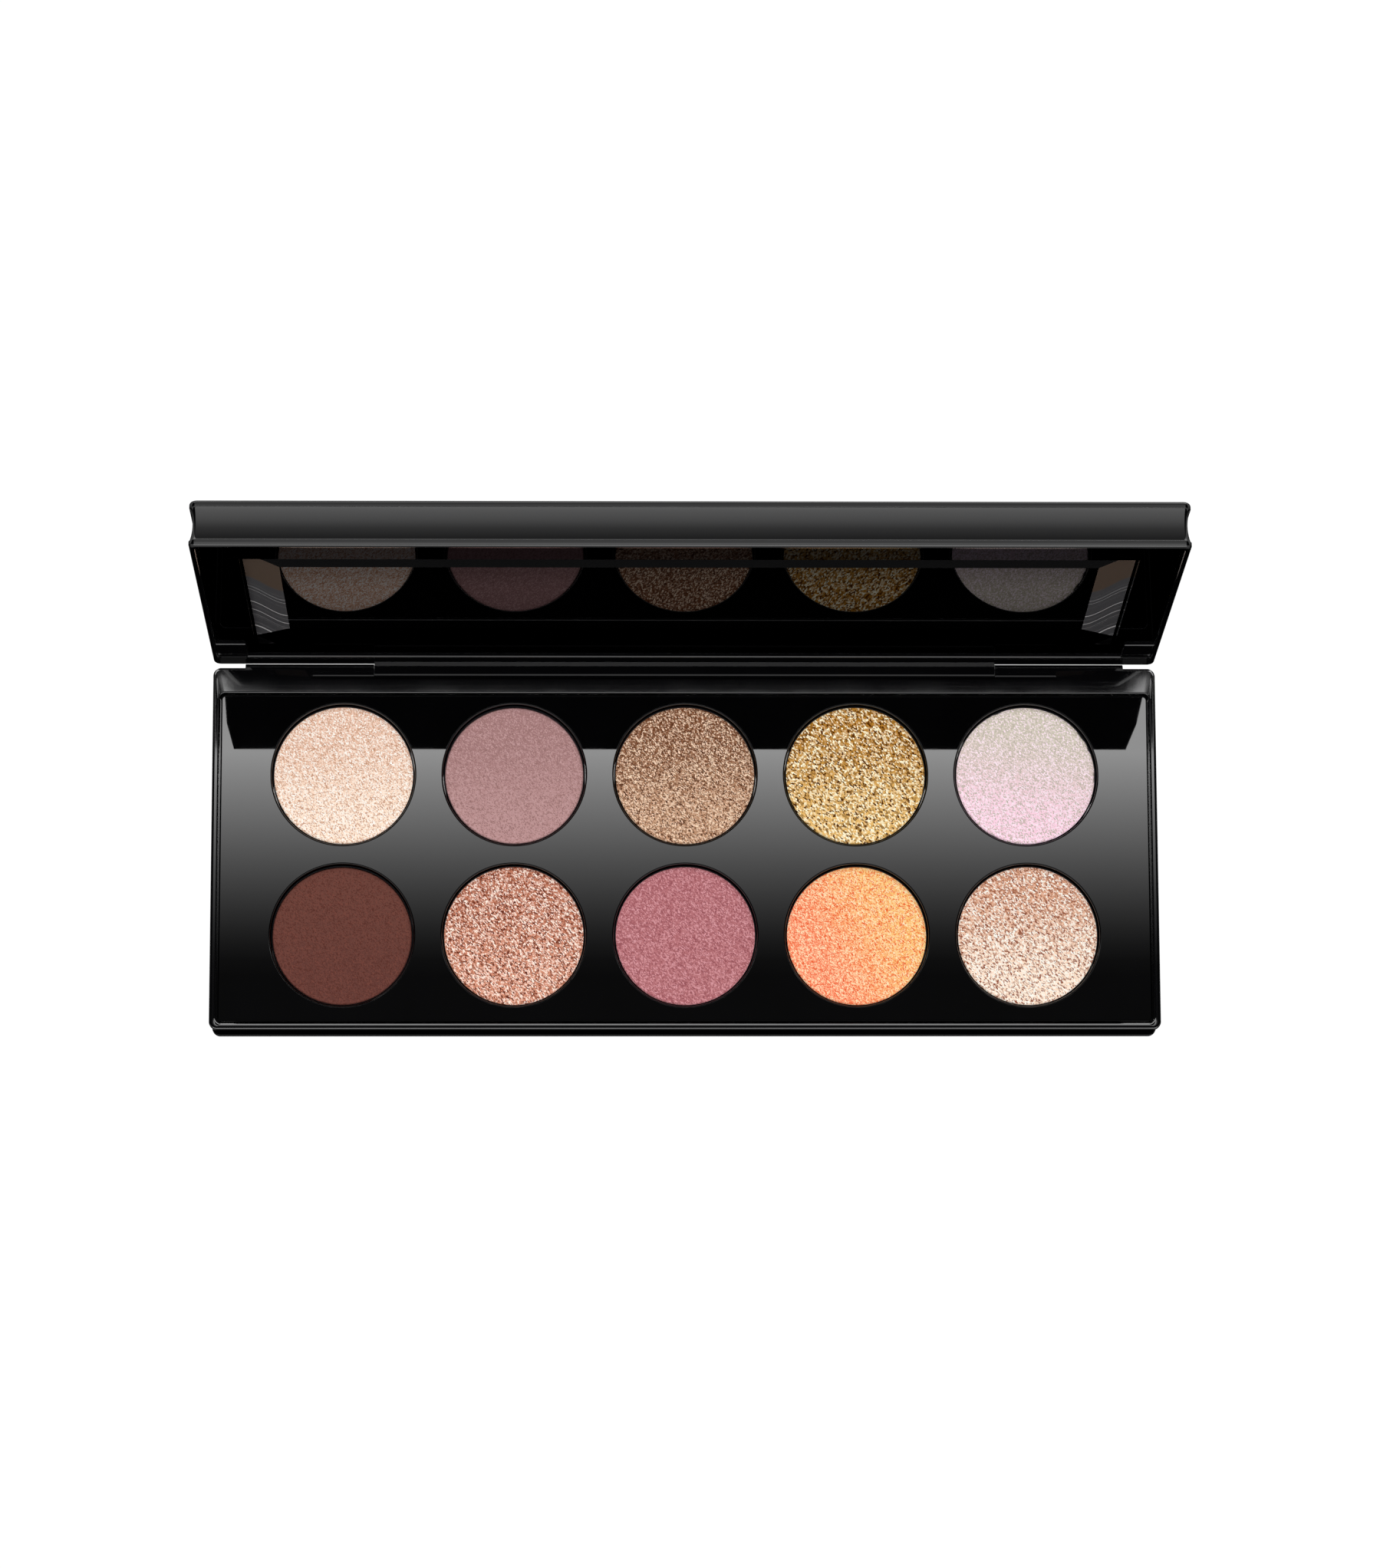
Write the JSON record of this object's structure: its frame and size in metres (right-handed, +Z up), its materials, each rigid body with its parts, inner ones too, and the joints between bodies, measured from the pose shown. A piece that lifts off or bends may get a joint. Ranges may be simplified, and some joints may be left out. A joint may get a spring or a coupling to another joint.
{
  "type": "eyeshadow palette",
  "caption": "Slim rectangular hinged makeup palette in glossy black plastic, with a bevelled mirror in the lid and rows of round pressed-powder pans in the base.",
  "frame": {"origin": "middle of the base's flat underside", "axes": "+X along the width of the case, parallel to the hinge; +Y from the front to the hinge; +Z up"},
  "size_m": [0.176, 0.0851, 0.0763],
  "materials": {
    "case_black": "moulded gloss black ABS",
    "tray_black": "moulded high-gloss black ABS",
    "pan_metal": "drawn tinplate with black lacquer",
    "powder_champagne": "pressed powder, champagne shimmer",
    "powder_mauve": "pressed powder, matte mauve",
    "powder_taupe": "pressed powder, taupe satin shimmer",
    "powder_gold": "pressed powder, gold glitter",
    "powder_opal": "pressed powder, pearl with two tints",
    "powder_maroon": "pressed powder, matte maroon",
    "powder_copper": "pressed powder, rose-copper glitter",
    "powder_rose": "pressed powder, mauve-rose shimmer",
    "powder_coral": "pressed powder, orange to coral pearl",
    "powder_blush": "pressed powder, champagne-rose glitter",
    "hot_melt": "dots of hot-melt glue",
    "magnet_nickel": "nickel-plated neodymium",
    "pin_steel": "drawn steel wire",
    "mirror_silver": "bevelled silvered glass",
    "foam_tape": "double-sided foam tape"
  },
  "bodies": {
    "base": {"base_shell": "case_black", "pan_tray": "tray_black", "glue_dot_champagne": "hot_melt", "glue_dot_mauve": "hot_melt", "glue_dot_taupe": "hot_melt", "glue_dot_gold": "hot_melt", "glue_dot_opal": "hot_melt", "glue_dot_maroon": "hot_melt", "glue_dot_copper": "hot_melt", "glue_dot_rose": "hot_melt", "glue_dot_coral": "hot_melt", "glue_dot_blush": "hot_melt", "pan_champagne": "pan_metal", "pan_mauve": "pan_metal", "pan_taupe": "pan_metal", "pan_gold": "pan_metal", "pan_opal": "pan_metal", "pan_maroon": "pan_metal", "pan_copper": "pan_metal", "pan_rose": "pan_metal", "pan_coral": "pan_metal", "pan_blush": "pan_metal", "powder_champagne": "powder_champagne", "powder_mauve": "powder_mauve", "powder_taupe": "powder_taupe", "powder_gold": "powder_gold", "powder_opal": "powder_opal", "powder_maroon": "powder_maroon", "powder_copper": "powder_copper", "powder_rose": "powder_rose", "powder_coral": "powder_coral", "powder_blush": "powder_blush", "base_magnet_left": "magnet_nickel", "base_magnet_right": "magnet_nickel", "hinge_pin_left": "pin_steel", "hinge_pin_right": "pin_steel"},
    "lid": {"lid_shell": "case_black", "mirror_frame": "tray_black", "mirror_glass": "mirror_silver", "mirror_tape": "foam_tape", "lid_magnet_left": "magnet_nickel", "lid_magnet_right": "magnet_nickel"}
  },
  "joints": [
    {"name": "lid_hinge", "type": "hinge", "parent": "base", "child": "lid", "pos_m": [0, 0.0334, 0.0096], "axis": [-1, 0, 0], "range_deg": [-96.5, 0]}
  ]
}
